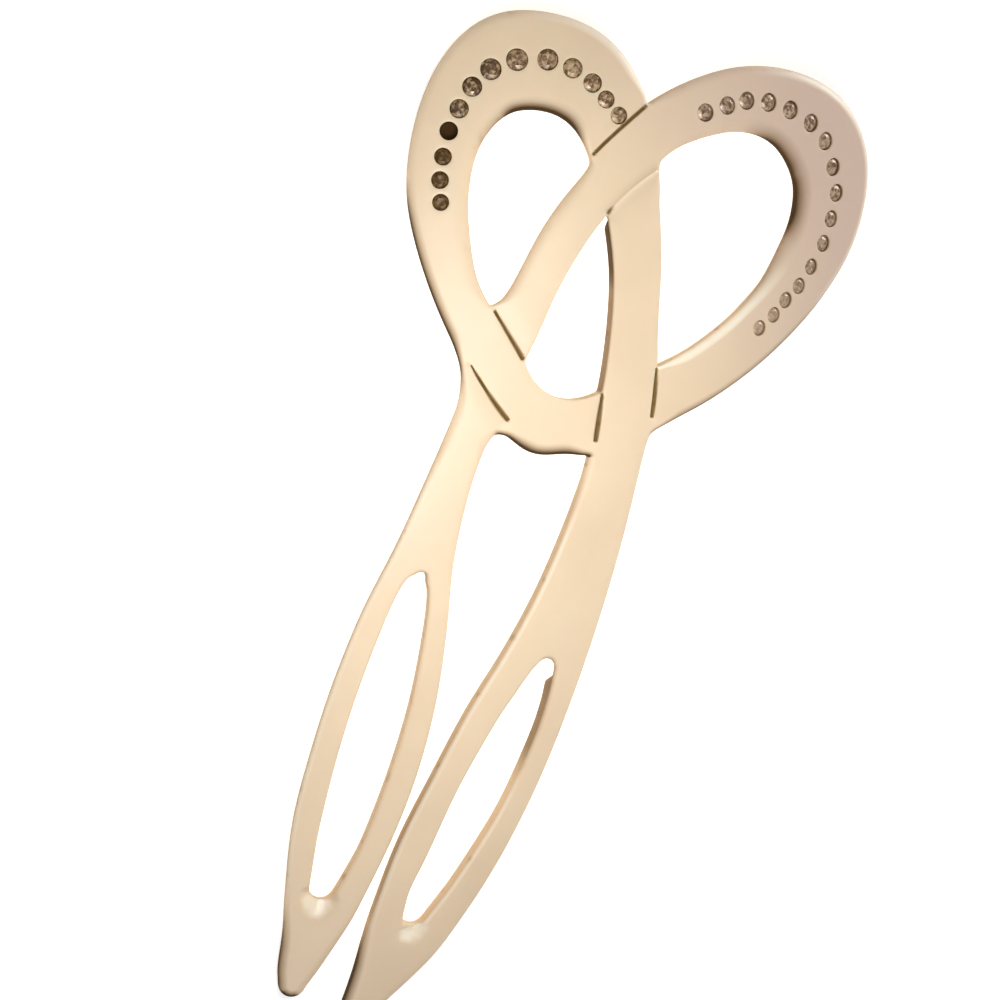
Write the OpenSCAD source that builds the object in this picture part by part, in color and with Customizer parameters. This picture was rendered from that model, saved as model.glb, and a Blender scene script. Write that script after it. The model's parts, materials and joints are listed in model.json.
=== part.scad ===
// A hair pick: one sheet of cream plastic, sawn, drilled, polished and bent
// across its width. Two long slotted prongs rise into a lopsided heart, which
// is one ribbon that runs over and under itself, set with a row of stones.
// It lies as it rests on a table, hollow side down: +Z up, +Y toward the
// heart, +X to the right, and the origin under the middle of its box.

/* [Sheet] */
// Thickness of the sheet
sheet_t = 2.2; // [1.9:0.1:2.6]
// Radius of the bend across the pick, on its face
bend_r = 100; // [90:5:130]

/* [Stones] */
// Depth of the drilled sockets
socket_depth = 1.4; // [1.2:0.1:1.6]
// Gap between a stone and its socket, all round
stone_gap = 0.06; // [0.04:0.01:0.1]
// Depth of a stone's flat top below the face
stone_sunk = 0.1; // [0.05:0.05:0.25]
// Width of a stone's flat top, as a share of the stone
table_share = 0.55; // [0.4:0.05:0.7]

/* [Carving] */
// Depth of the lines carved where the ribbon crosses itself
line_depth = 0.45; // [0.2:0.05:0.7]
// Depth of the scoop at the lower end of each slot
scoop_depth = 0.7; // [0.4:0.1:1]
// Length of that scoop
scoop_len = 2.8; // [2:0.2:4]
// Radius of the cutter that made the scoops
scoop_r = 2.4; // [2:0.1:3]

/* [Wear] */
// Height of the flat that the table has worn on the heart's two outer edges
loop_wear = 0.5; // [0.3:0.1:0.7]
// Height of the flat worn on the left prong's edge, near its tip
tip_wear = 0.1; // [0.05:0.05:0.2]

/* [Hidden] */
// Columns of every table: place across the pick, measured along the bent face
// from the crest of the bend, place along the pick, and width or diameter.
X = 0;
Y = 1;
W = 2;

// The ribbon's middle line and its width, from the left prong's tip round the
// right loop, under itself, round the left loop and down to the right tip.
LEFT_PRONG = [
    [-9.4, -72, 4],
    [-9.5, -70, 5.4],
    [-9.4, -65, 7.8],
    [-9.6, -60, 10.3],
    [-10.3, -50, 13.9],
    [-10.7, -40, 15.1],
    [-11.4, -30, 14.5],
    [-12.3, -20, 12],
    [-13, -10, 8.1],
    [-13.3, 0, 6],
    [-13.1, 8, 5.6]
];
RISING_STRAND = [
    [-12.9, 15, 5.7],
    [-12.2, 22, 6.2],
    [-11.5, 29, 5.7],
    [-10.6, 35, 5.9],
    [-9.3, 40, 5.9],
    [-7.4, 45, 5.8],
    [-5.4, 50, 6.6],
    [-2.7, 54.6, 7.3]
];
RIGHT_LOOP = [
    [1.4, 58.8, 8],
    [7.3, 62.6, 8.8],
    [14.2, 64.1, 10.2],
    [21, 62.8, 12.5],
    [26.2, 58.8, 13.3],
    [28.4, 52, 12.7],
    [27.6, 45.4, 11.4],
    [25.6, 39.3, 9.9],
    [22, 32.7, 8.9]
];
UNDERPASS = [
    [17.3, 26.6, 8.4],
    [12.7, 22, 8.2],
    [8.2, 18, 8.2],
    [3.8, 14.1, 8.2],
    [-0.5, 12.3, 7.4],
    [-4.3, 11.5, 8.5],
    [-8.3, 13.3, 6.6]
];
CROSSBAND = [
    [-12.5, 16.6, 6.6],
    [-16.3, 19.3, 6.8],
    [-21.6, 24.2, 6.4],
    [-25.9, 30.4, 7.5],
    [-28.6, 36, 8.4]
];
LEFT_LOOP = [
    [-29.9, 43, 9.2],
    [-28.9, 49.8, 11.2],
    [-25.9, 54.5, 13],
    [-21, 56.6, 12.8],
    [-15.8, 56.7, 12.3],
    [-11.4, 54.6, 11],
    [-7.9, 51.1, 9.4]
];
FALLING_STRAND = [
    [-4.1, 45.9, 8.5],
    [-0.9, 40.1, 7.8],
    [1.4, 35.1, 7.3],
    [3.2, 30.1, 7.2],
    [4.9, 25, 7.6],
    [6.3, 20, 8],
    [7.7, 15, 8.2],
    [8.7, 8, 8.4]
];
RIGHT_PRONG = [
    [9.3, 0, 9.1],
    [9.5, -10, 10.5],
    [9, -20, 12.5],
    [7.9, -30, 14.7],
    [6.8, -40, 15.4],
    [5.3, -50, 14.9],
    [3.8, -60, 12.1],
    [2.8, -65, 9.8],
    [1.6, -70, 6.6],
    [0.4, -75, 4],
    [0.2, -76, 3.6]
];
// Material left in three corners, where the saw turned: the neck between left
// loop and left prong, the upper left of the gap between the prongs, and the
// foot of the left loop's hole.
CORNER_WEBS = [
    [[-18.3, 17.4, 1.6], [-16.2, 14.8, 1.6], [-15.2, 11, 1.6]],
    [[-11.1, 6.2, 1.6], [-10.3, 8.7, 1.6], [-7.6, 9.4, 1.6]],
    [[-17.1, 22.4, 1.2], [-15.2, 24.2, 1.2], [-13.4, 26, 1.2]]
];
// The long slot sawn in each prong, from its upper end to its lower end.
LEFT_SLOT = [
    [-12.45, -13.5, 1.8],
    [-12.6, -15, 3.7],
    [-12.2, -20, 5.6],
    [-11.4, -30, 7.5],
    [-10.8, -40, 7.7],
    [-10.3, -50, 6.5],
    [-10.2, -55, 4.9],
    [-10.2, -58, 3.7]
];
RIGHT_SLOT = [
    [9.4, -19.9, 2.8],
    [9.2, -21.5, 3.8],
    [8.9, -25, 5.2],
    [8.3, -30, 6.6],
    [7, -40, 7.5],
    [5.4, -50, 6],
    [4.3, -55, 5],
    [3.9, -58, 3.7]
];
// The sharper corner at the lower left end of the right slot.
SLOT_CORNER = [
    [3.6, -57.6, 2.6],
    [2.8, -59.2, 1.1]
];
// The carved lines that show which strand of the ribbon passes over.
CARVED_LINES = [
    [[-10.6, 47.6, 0.5], [-8.8, 51.3, 0.5], [-6.1, 56.2, 0.5]],
    [[-15.6, 23.4, 0.3], [-12.6, 21, 0.5], [-9.8, 18.8, 0.7]],
    [[-16.3, 15.7, 0.3], [-12.4, 12.7, 0.5], [-8.8, 10.4, 0.7]],
    [[2.6, 18.4, 0.4], [3.4, 15, 0.7], [4.1, 11.8, 0.4]],
    [[9, 24.3, 0.5], [10.1, 21, 0.5], [11, 17.6, 0.5]]
];
// The stones: the left loop's run from the heart's notch down and leave out
// the one that is lost, and the right loop's run from the notch round and down.
LEFT_STONES = [
    [-9.2, 53.6, 2.2],
    [-11.6, 54.9, 2.2],
    [-14.1, 56.2, 2.4],
    [-17.3, 57, 2.5],
    [-20.8, 56.8, 2.7],
    [-24.6, 55.3, 2.8],
    [-27.4, 52.9, 2.7],
    [-28.9, 49.9, 2.5],
    [-29.5, 46.6, 2.4],
    [-29.3, 40, 2.2],
    [-28.6, 37, 2.2],
    [-27.5, 34.3, 2.1]
];
LOST_STONE = [-29.8, 43.4, 2.3];
RIGHT_STONES = [
    [2.2, 58.6, 2.3],
    [4.9, 60.7, 2.3],
    [7.4, 62.4, 2.3],
    [10.7, 63.5, 2.4],
    [14.4, 63.9, 2.4],
    [18.4, 63.6, 2.4],
    [21.9, 62.3, 2.4],
    [24.9, 59.6, 2.4],
    [27.2, 56.6, 2.4],
    [28, 53, 2.3],
    [28.3, 49.4, 2.3],
    [27.7, 45.7, 2.2],
    [26.8, 42.5, 2.2],
    [25.4, 39.9, 2.2],
    [24.3, 37.3, 2.1],
    [22.7, 34.8, 2.1]
];

// The whole ribbon, and the rows at which it is parted so that no stretch of
// it crosses itself.
RIBBON = concat(LEFT_PRONG, RISING_STRAND, RIGHT_LOOP, UNDERPASS, CROSSBAND, LEFT_LOOP,
                FALLING_STRAND, RIGHT_PRONG);
FIRST_PART = len(LEFT_PRONG) + len(RISING_STRAND) + len(RIGHT_LOOP);
SECOND_PART = FIRST_PART + len(UNDERPASS) + len(CROSSBAND) + len(LEFT_LOOP);
LAST_ROW = len(RIBBON) - 1;

// Points drawn between two rows of a table, and round a half circle.
ROW_STEPS = 4;
TIP_STEPS = 8;
// Short step along a table for finding which way its line heads.
PROBE = 0.02;
// Fineness of round shapes, and of the wide bend.
$fn = 48;
BEND_FN = 256;
// A length that reaches past the whole pick, and a little more than nothing.
REACH = 200;
PAST = 1;
// Space left under a stone, and the width of its foot as a share of the stone.
FOOT_GAP = 0.08;
FOOT_SHARE = 0.3;
// Heights of a stone's crown and of the band round its middle, to its width.
CROWN_SHARE = 0.16;
GIRDLE_SHARE = 0.04;

// A table's row at any place between its rows, on a smooth curve through them.
function row(rows, i) =
    i < 0 ? 2 * rows[0] - rows[1] :
    i >= len(rows) ? 2 * rows[len(rows) - 1] - rows[len(rows) - 2] :
    rows[i];
function curve(a, b, c, d, t) =
    (2 * b + (c - a) * t + (2 * a - 5 * b + 4 * c - d) * t * t + (3 * b - a - 3 * c + d) * t * t * t) / 2;
function at(rows, s) =
    let (i = max(0, min(floor(s), len(rows) - 2)))
    curve(row(rows, i - 1), row(rows, i), row(rows, i + 1), row(rows, i + 2), s - i);

// Unit vectors along the line and to its left.
function heading(rows, s) =
    let (d = at(rows, s + PROBE) - at(rows, s - PROBE))
    [d[X], d[Y]] / norm([d[X], d[Y]]);
function left_of(h) = [-h[Y], h[X]];
function middle(rows, s) = let (p = at(rows, s)) [p[X], p[Y]];

// One edge of the band, with side 1 on the left of travel and -1 on the right.
function edge(rows, s, side) =
    middle(rows, s) + side * at(rows, s)[W] / 2 * left_of(heading(rows, s));
function edge_run(rows, from, to, side) =
    [for (k = [0 : (to - from) * ROW_STEPS]) edge(rows, from + k / ROW_STEPS, side)];

// A round end past row s. It goes from one side to the other, outward.
function round_end(rows, s, side) =
    let (h = heading(rows, s), r = at(rows, s)[W] / 2)
    [for (k = [1 : TIP_STEPS - 1])
        let (a = 180 * k / TIP_STEPS)
        middle(rows, s) + side * r * (sin(a) * h + cos(a) * left_of(h))];
function reversed(list) = [for (k = [len(list) - 1 : -1 : 0]) list[k]];

// The outline of a band between two rows, with its ends square or round.
function band(rows, from, to, round_from, round_to) =
    concat(edge_run(rows, from, to, 1),
           round_to ? round_end(rows, to, 1) : [],
           reversed(edge_run(rows, from, to, -1)),
           round_from ? round_end(rows, from, -1) : []);

// The bend: its angle at a place across the pick, and how far that place then
// lies from the crest, seen from above.
function bend_angle(x) = x / bend_r * 180 / PI;
function seen(p) = [bend_r * sin(bend_angle(p[X])), p[Y]];
function hollow_drop(x) = bend_r - sqrt(pow(bend_r - sheet_t, 2) - pow(seen([x, 0])[X], 2));

// How the pick rests: on the outer edges of both loops and of the left tip.
LOOP_REST = [34.6, 50];
TIP_REST = [12.2, -70];
loop_drop = hollow_drop(LOOP_REST[X]) - loop_wear;
tip_drop = hollow_drop(TIP_REST[X]) - tip_wear;
rest_pitch = asin((loop_drop - tip_drop) / (LOOP_REST[Y] - TIP_REST[Y]));
rest_lift = loop_drop * cos(rest_pitch) - LOOP_REST[Y] * sin(rest_pitch);

// The middle of the outline, which is put over the origin.
OUTLINE = [for (p = band(RIBBON, 0, LAST_ROW, true, true)) seen(p)];
x_values = [for (p = OUTLINE) p[X]];
y_values = [for (p = OUTLINE) p[Y]];
mid_x = (min(x_values) + max(x_values)) / 2;
mid_y = (min(y_values) + max(y_values)) / 2 * cos(rest_pitch);

function numbered(name, i) = str(name, i < 9 ? "_0" : "_", i + 1);
LEFT_NAMES = [for (i = [0 : len(LEFT_STONES) - 1]) numbered("left_stone", i)];
RIGHT_NAMES = [for (i = [0 : len(RIGHT_STONES) - 1]) numbered("right_stone", i)];

// Lays children down as the pick rests.
module at_rest() {
    translate([-mid_x, -mid_y, rest_lift])
        rotate([rest_pitch, 0, 0])
            children();
}

// Puts children on the bent face at a table's place, +Z straight out of it.
module on_face(place) {
    translate([0, 0, -bend_r])
        rotate([0, bend_angle(place[X]), 0])
            translate([0, place[Y], bend_r])
                children();
}

// A band as it is seen from above.
module seen_band(rows, from, to, round_from, round_to) {
    polygon([for (p = band(rows, from, to, round_from, round_to)) seen(p)]);
}

module whole_slot(rows) {
    seen_band(rows, 0, len(rows) - 1, true, true);
}

// The flat outline: the ribbon laid over itself, less the slots.
module outline() {
    difference() {
        union() {
            seen_band(RIBBON, 0, FIRST_PART, true, false);
            seen_band(RIBBON, FIRST_PART, SECOND_PART, false, false);
            seen_band(RIBBON, SECOND_PART, LAST_ROW, false, true);
            for (web = CORNER_WEBS)
                seen_band(web, 0, len(web) - 1, false, false);
        }
        whole_slot(LEFT_SLOT);
        whole_slot(RIGHT_SLOT);
        whole_slot(SLOT_CORNER);
    }
}

// A bent layer of the sheet, between two depths below its face.
module bent_layer(top, bottom) {
    translate([0, 0, -bend_r])
        rotate([90, 0, 0])
            difference() {
                cylinder(r = bend_r - top, h = REACH, center = true, $fn = BEND_FN);
                cylinder(r = bend_r - bottom, h = REACH + 2 * PAST, center = true, $fn = BEND_FN);
            }
}

// Children, an outline, cut through that layer.
module sawn(top, bottom) {
    intersection() {
        bent_layer(top, bottom);
        translate([0, 0, -bend_r / 2])
            linear_extrude(height = bend_r)
                children();
    }
}

module carved_lines() {
    sawn(-PAST, line_depth)
        for (line = CARVED_LINES)
            seen_band(line, 0, len(line) - 1, false, false);
}

// A drilled socket, a true round bore square to the face.
module socket(stone) {
    on_face(stone)
        translate([0, 0, -socket_depth])
            cylinder(d = stone[W] + 2 * stone_gap, h = socket_depth + PAST);
}

// The ramp cut by a slanted round cutter at the lower end of a slot.
module scoop(slot) {
    end = slot[len(slot) - 1];
    foot = [end[X], end[Y] - end[W] / 2 - scoop_len];
    on_face(foot)
        rotate([-asin(scoop_depth / scoop_len), 0, 0])
            translate([0, 0, scoop_r])
                rotate([-90, 0, 0])
                    cylinder(r = scoop_r, h = scoop_len + scoop_depth);
}

// What the table has worn away below the three places that touch it.
module table() {
    translate([-REACH / 2, -REACH / 2, -REACH])
        cube(REACH);
}

module body() {
    color([0.93, 0.86, 0.71])
        difference() {
            at_rest()
                difference() {
                    sawn(0, sheet_t) outline();
                    carved_lines();
                    for (stone = concat(LEFT_STONES, [LOST_STONE], RIGHT_STONES))
                        socket(stone);
                    scoop(LEFT_SLOT);
                    scoop(RIGHT_SLOT);
                }
            table();
        }
}

// One cut stone: a narrow foot, a belt, a sloping crown and a flat top.
module stone(place) {
    r = place[W] / 2;
    top = -stone_sunk;
    belt = top - CROWN_SHARE * place[W];
    belt_foot = belt - GIRDLE_SHARE * place[W];
    foot = FOOT_GAP - socket_depth;
    color([0.72, 0.64, 0.56])
        at_rest()
            on_face(place)
                rotate_extrude()
                    polygon([
                        [0, foot],
                        [r * FOOT_SHARE, foot],
                        [r, belt_foot],
                        [r, belt],
                        [r * table_share, top],
                        [0, top]
                    ]);
}

body();
for (i = [0 : len(LEFT_STONES) - 1])
    stone(LEFT_STONES[i]);
for (i = [0 : len(RIGHT_STONES) - 1])
    stone(RIGHT_STONES[i]);
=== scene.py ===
# %% [markdown]
# # A carved hair pick in cream plastic
#
# The piece is one sheet, 2.2 mm thick, that was sawn into two slotted prongs and a heart tied
# from one ribbon, rounded at its edges, polished, bent across its width and set with small
# stones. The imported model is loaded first, because every visible piece is measured from it.

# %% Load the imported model
import json
import math

import bmesh
import bpy
import numpy as np
from mathutils import Matrix, Vector
from mathutils.geometry import delaunay_2d_cdt


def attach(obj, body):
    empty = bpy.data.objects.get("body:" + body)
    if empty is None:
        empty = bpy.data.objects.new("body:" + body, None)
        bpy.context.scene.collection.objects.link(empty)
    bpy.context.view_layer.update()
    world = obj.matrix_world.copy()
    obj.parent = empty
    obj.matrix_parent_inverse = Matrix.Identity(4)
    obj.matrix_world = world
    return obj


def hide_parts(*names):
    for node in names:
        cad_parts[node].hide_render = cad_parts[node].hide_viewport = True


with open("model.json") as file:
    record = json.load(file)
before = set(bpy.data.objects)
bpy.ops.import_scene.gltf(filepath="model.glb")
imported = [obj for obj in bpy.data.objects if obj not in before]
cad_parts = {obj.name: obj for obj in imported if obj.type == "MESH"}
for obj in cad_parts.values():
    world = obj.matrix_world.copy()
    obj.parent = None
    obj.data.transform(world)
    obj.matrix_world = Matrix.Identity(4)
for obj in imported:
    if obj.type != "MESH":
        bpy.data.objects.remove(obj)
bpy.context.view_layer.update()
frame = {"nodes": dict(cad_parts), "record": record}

MM = 0.001


def shown(name, data):
    """A new object in the scene, made from a mesh, a light or a camera."""
    thing = bpy.data.objects.new(name, data)
    bpy.context.scene.collection.objects.link(thing)
    return thing


print("CAD nodes:", len(frame["nodes"]))

# %% [markdown]
# ## Working on the sheet while it is still flat
#
# A maker saws and rounds the sheet flat and bends it last. Modelling can go the same way: shapes
# are worked out on a flat drawing with x across, y along and a height over the face, and one
# function bends them into place. The other way, cutting a bent body with booleans, gives ragged
# triangles along every edge. The lost stone's socket is a mount in the record, and its axis is
# square to the bent face, so it tells how the resting pick is tilted and lifted.

# %% The bend and the way the pick rests
BEND_R = 100.0
SHEET_T = 2.2
LOST_SOCKET = (-29.8, 43.4)
SOCKET_DEPTH = 1.4

mount = [m for m in frame["record"]["mounts"] if m["name"] == "lost_stone_socket"][0]
pitch = math.atan2(-mount["axis"][1], mount["axis"][2])
rest = Matrix.Rotation(pitch, 4, "X")


def bent(x, y, h):
    """Points of the flat drawing, in mm, carried to the bent sheet before it is laid down."""
    angle = np.asarray(x) / BEND_R
    radius = BEND_R + np.asarray(h)
    return np.stack([radius * np.sin(angle), y + 0 * angle, radius * np.cos(angle) - BEND_R], -1)


socket_middle = bent(LOST_SOCKET[0], LOST_SOCKET[1], -SOCKET_DEPTH / 2)
shift = Vector(mount["pos_m"]) / MM - rest @ Vector(socket_middle)
rest = Matrix.Translation(shift) @ rest
REST = np.array(rest)


def laid_down(points):
    """Bent points, in mm, in the place where the resting pick has them, in metres."""
    return (points @ REST[:3, :3].T + REST[:3, 3]) * MM


def on_face(x, y):
    """A frame on the bent face: its third axis stands square out of the sheet."""
    spot = Vector(laid_down(bent(x, y, 0.0)))
    return Matrix.Translation(spot) @ (rest.to_3x3() @ Matrix.Rotation(x / BEND_R, 3, "Y")).to_4x4()


print("the pick rests tilted by", round(math.degrees(pitch), 2), "degrees")

# %% [markdown]
# ## Reading the outline off the solid
#
# The saw cuts stand straight up through the sheet, so a cut through the solid at half its depth
# gives the true outline. Each triangle that crosses that depth gives one short line, and the
# lines chain into closed loops. The sockets give loops too, which are told apart by their length.
# Measuring the solid is better than drawing the outline again, since the two can't drift apart.

# %% Slice the solid at half its depth
SMALLEST_OUTLINE = 20.0
MERGE_DIGITS = 3

body_mesh = frame["nodes"]["body"].data
body_mesh.calc_loop_triangles()
solid_points = np.array([v.co for v in body_mesh.vertices]) / MM
solid_points = (solid_points - REST[:3, 3]) @ REST[:3, :3]
solid_depth = np.hypot(solid_points[:, 0], solid_points[:, 2] + BEND_R) - BEND_R


def sliced_loops(points, heights, triangles, level):
    """Closed loops of points, seen from above, in which the triangles cross a height."""
    _, names = np.unique(np.round(points, MERGE_DIGITS), axis=0, return_inverse=True)
    names = names.ravel()
    links, places = {}, {}
    for triangle in triangles:
        crossed = []
        for a, b in ((0, 1), (1, 2), (2, 0)):
            i, j = triangle[a], triangle[b]
            if (heights[i] - level) * (heights[j] - level) < 0:
                key = tuple(sorted((names[i], names[j])))
                t = (level - heights[i]) / (heights[j] - heights[i])
                places[key] = points[i, :2] + t * (points[j, :2] - points[i, :2])
                crossed.append(key)
        if len(crossed) == 2:
            links.setdefault(crossed[0], []).append(crossed[1])
            links.setdefault(crossed[1], []).append(crossed[0])
    loops, used = [], set()
    for start in links:
        if start in used:
            continue
        chain, here = [], start
        while here is not None:
            used.add(here)
            chain.append(places[here])
            here = next((k for k in links[here] if k not in used), None)
        loops.append(np.array(chain))
    return loops


triangles = [tuple(t.vertices) for t in body_mesh.loop_triangles]
outlines = sliced_loops(solid_points, solid_depth, triangles, -SHEET_T / 2)


def loop_length(loop):
    """The length round a closed loop."""
    return np.hypot(*(np.roll(loop, -1, 0) - loop).T).sum()


outlines = [loop for loop in outlines if loop_length(loop) > SMALLEST_OUTLINE]
for loop in outlines:
    loop[:, 0] = BEND_R * np.arcsin(loop[:, 0] / BEND_R)
print("outlines, in mm round:", [round(float(loop_length(k))) for k in outlines])

# %% [markdown]
# ## Softening the saw's corners
#
# The solid's outline is made of short straight cuts. A file and a polishing wheel leave smooth
# curves and small rounds where strands cross. Each loop is walked in fine even steps and averaged
# over a short stretch. On the heart, a second and longer average takes out the slight bends
# between the cuts. It fades where it would move the outline far, so true corners stay.

# %% Even steps and smoothing
FINE_STEP = 0.1
SOFTENING = 0.42
CRISP_SOFTENING = 0.2
BELL_REACHES = 4
# The second average: its reach, how far it may move a point, how sharply it gives way there,
# and the height on the drawing above which it works in full.
FAIRING = 1.2
FAIRING_LIMIT = 0.22
FAIRING_YIELD = 3
FAIRING_FROM = 5.0


def even_steps(loop, step):
    """Points in even steps along a closed loop."""
    count = int(round(loop_length(loop) / step))
    steps = np.hypot(*(np.roll(loop, -1, 0) - loop).T)
    marks = np.concatenate([[0], np.cumsum(steps)])
    closed = np.vstack([loop, loop[:1]])
    wanted = np.arange(count) * loop_length(loop) / count
    return np.stack([np.interp(wanted, marks, closed[:, k]) for k in (0, 1)], -1)


def averaged(values, reach):
    """Values round a loop of fine steps, averaged with a bell of that reach in mm."""
    half = int(BELL_REACHES * reach / FINE_STEP)
    bell = np.exp(-0.5 * (np.arange(-half, half + 1) * FINE_STEP / reach) ** 2)
    bell /= bell.sum()
    padded = np.concatenate([values[-half:], values, values[:half]])
    if values.ndim == 1:
        return np.convolve(padded, bell, "valid")
    return np.stack([np.convolve(padded[:, k], bell, "valid") for k in (0, 1)], -1)


def faired(loop):
    """The loop without the heart's slight bends, and with its true corners."""
    fair = averaged(loop, FAIRING)
    moved = np.hypot(*(fair - loop).T)
    too_far = averaged(np.clip(moved / FAIRING_LIMIT - 1, 0, 1), FAIRING)
    corner = averaged(np.clip(FAIRING_YIELD * too_far, 0, 1), FAIRING / 2)
    low = np.clip(1 - loop[:, 1] / FAIRING_FROM, 0, 1)
    kept = np.maximum(corner, low)[:, None]
    return loop * kept + fair * (1 - kept)


def left_normals(loop):
    """Directions of length 1 to the left of the loop, at each of its points."""
    along = np.roll(loop, -1, 0) - np.roll(loop, 1, 0)
    along /= np.hypot(*along.T)[:, None]
    return np.stack([-along[:, 1], along[:, 0]], -1)

# %% [markdown]
# ## Telling the outlines apart
#
# The rounding differs from one outline to the next, so each gets its name. The longest is the
# outside, and the others are known by where their middles lie.

# %% Name, turn and smooth every outline
OUTSIDE_LENGTH = 300.0
LEFT_HOLE_UNDER, RIGHT_HOLE_OVER = -10.0, 5.0


def signed_area(loop):
    """Area inside a loop, below nought where the loop runs clockwise."""
    x, y = loop.T
    return 0.5 * float((x * np.roll(y, -1) - y * np.roll(x, -1)).sum())


def name_of(loop):
    """What an outline is on the pick, by where its middle lies."""
    if loop_length(loop) > OUTSIDE_LENGTH:
        return "outside"
    x, y = loop.mean(0)
    if y < 0:
        return "left_slot" if x < 0 else "right_slot"
    if x < LEFT_HOLE_UNDER:
        return "left_hole"
    return "right_hole" if x > RIGHT_HOLE_OVER else "middle_hole"


outlines = {name_of(loop): loop for loop in outlines}
NAMES = ["outside", "left_hole", "right_hole", "middle_hole", "left_slot", "right_slot"]
fine_loops = []
for name in NAMES:
    loop = outlines[name]
    if (signed_area(loop) > 0) != (name == "outside"):
        loop = loop[::-1]
    reach = CRISP_SOFTENING if name == "middle_hole" else SOFTENING
    fine_loops.append(faired(averaged(even_steps(loop, FINE_STEP), reach)))
slot_ends = {name: loop[loop[:, 1].argmin()] for name, loop in zip(NAMES[4:], fine_loops[4:])}
print("fine steps:", dict(zip(NAMES, map(len, fine_loops))))

# %% [markdown]
# ## The carved crossing lines
#
# The ribbon only seems to pass under itself. The carver cut a short V-shaped line along the upper strand's
# edge and scraped the lower strand so that it dips toward the line. At one place the cutter only left a
# soft step, with painted shade on its upper side and a painted highlight on its crest, and by the foot of
# each slot it scooped the face away, with a painted highlight in the scoop. All are depths below the face,
# worked out from the distance to a line or to the slot's foot, so the face stays one surface.

# %% Places and sizes of the carving
# Each line's rows are across, along and width. Then come the side on which the lower strand
# lies, the depth of the line and how far the lower strand dips.
CARVED_LINES = {
    "notch": ([(-10.6, 47.6, 0.5), (-8.8, 51.3, 0.6), (-6.1, 56.2, 0.6)], 1, 0.42, 0.34),
    "band_top": ([(-15.8, 23.5, 0.6), (-12.6, 21.0, 0.7), (-9.9, 18.9, 0.85)], 1, 0.5, 0.26),
    "band_foot": ([(-16.2, 15.6, 0.25), (-12.4, 12.7, 0.65), (-8.9, 10.5, 0.75)], -1, 0.5, 0.26),
    "underpass_left": ([(2.6, 18.3, 0.45), (3.4, 15.0, 0.8), (4.1, 12.0, 0.75)], -1, 0.5, 0.22),
    "underpass_right": ([(9.0, 24.2, 0.5), (10.1, 21.0, 0.85), (11.0, 17.8, 0.75)], 1, 0.5, 0.22),
}
SOFT_STEP = ([(-5.8, 41.2, 1.0), (-4.2, 44.8, 0.8), (-1.6, 48.8, 0.5)], -1, 0.11, 0.55)
LINE_STEPS = 20
LINE_FAR = 12.0
LINE_FADE = 0.9
# The lower strand's dip: its half width, where it begins, the bow of its slope and the lip's width.
DIP_REACH, DIP_START, DIP_BOW, DIP_LIP = 1.5, 0.05, 1.5, 0.12
UPPER_EDGE_ROUND, UPPER_EDGE_DROP = 0.45, 0.12
# How full the cut's section is, and the depth at which it is browned in full.
CUT_BOW, CUT_BROWN = 0.8, 0.2
# The soft step: how strong and wide the painted shade on its upper side is, how strong the painted
# highlight on its crest is, the crest's place and width, and how much darker the cut is near its start,
# from where and over what length.
SHADE, SHADE_WIDTH = 0.3, 1.6
CREST_HIGHLIGHT, CREST_AT, CREST_WIDTH = 0.7, 0.3, 0.2
START_DARK, START_LOSS, START_FROM, START_OVER = 2.6, 2.4, 0.2, 1.4
# The cutter of the scoops, the least and most height over the start that counts, the depth at which the
# scoop's painted highlight is full, and where above the slot's foot that highlight fades out.
CUTTER_R = 2.8
RAMP_LOW, RAMP_HIGH = -3.0, 3.2
HIGHLIGHT_DEPTH = 0.3
HIGHLIGHT_END, HIGHLIGHT_FADE = -0.1, 0.8
# The scoop by each slot's foot: how it is turned in degrees, how far along the foot it is moved, how steep
# it is, where above the foot it starts, begins to run out and ends, and how strong its painted highlight
# is.
SCOOPS = {
    "left_slot": (0.0, 0.0, 0.39, -2.7, 0.5, 3.0, 1.0),
    "right_slot": (33.0, -0.1, 0.54, -2.4, -0.9, 0.5, 1.28),
}

# %% [markdown]
# ## How deep the face lies at any point
#
# Each line is a smooth curve through its three rows, cut into short straight pieces. The nearest
# piece gives the distance, and its side tells the upper strand from the lower one.

# %% Depth of the lines, dips and scoops
def curve_through(rows, steps):
    """A smooth curve through a table's three rows."""
    a, b, c = (np.array(r, float) for r in rows)
    t = np.linspace(0, 1, steps + 1)[:, None]
    middle = 2 * b - (a + c) / 2
    return (1 - t) ** 2 * a + 2 * t * (1 - t) * middle + t ** 2 * c


def from_line(points, curve):
    """For each point: distance to the line with its side, width there, and how far past an end."""
    a, b = curve[:-1], curve[1:]
    step = (b - a)[:, :2]
    length = (step ** 2).sum(1)
    rel = points[:, None, :2] - a[None, :, :2]
    t = (rel * step).sum(2) / length
    near = np.clip(t, 0, 1)
    gap = rel - near[..., None] * step
    far = np.hypot(gap[..., 0], gap[..., 1])
    best = far.argmin(1)
    rows = np.arange(len(points))
    side = np.sign(step[best, 0] * rel[rows, best, 1] - step[best, 1] * rel[rows, best, 0])
    width = curve[best, 2] + near[rows, best] * (curve[best + 1, 2] - curve[best, 2])
    past = np.where(best == 0, np.maximum(0, -t[rows, best]), 0)
    past += np.where(best == len(a) - 1, np.maximum(0, t[rows, best] - 1), 0)
    return side * far[rows, best], width, past * np.sqrt(length[best])


def eased(t):
    """Goes from 0 to 1 as t does, with a soft start and end."""
    t = np.clip(t, 0, 1)
    return t * t * (3 - 2 * t)


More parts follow.
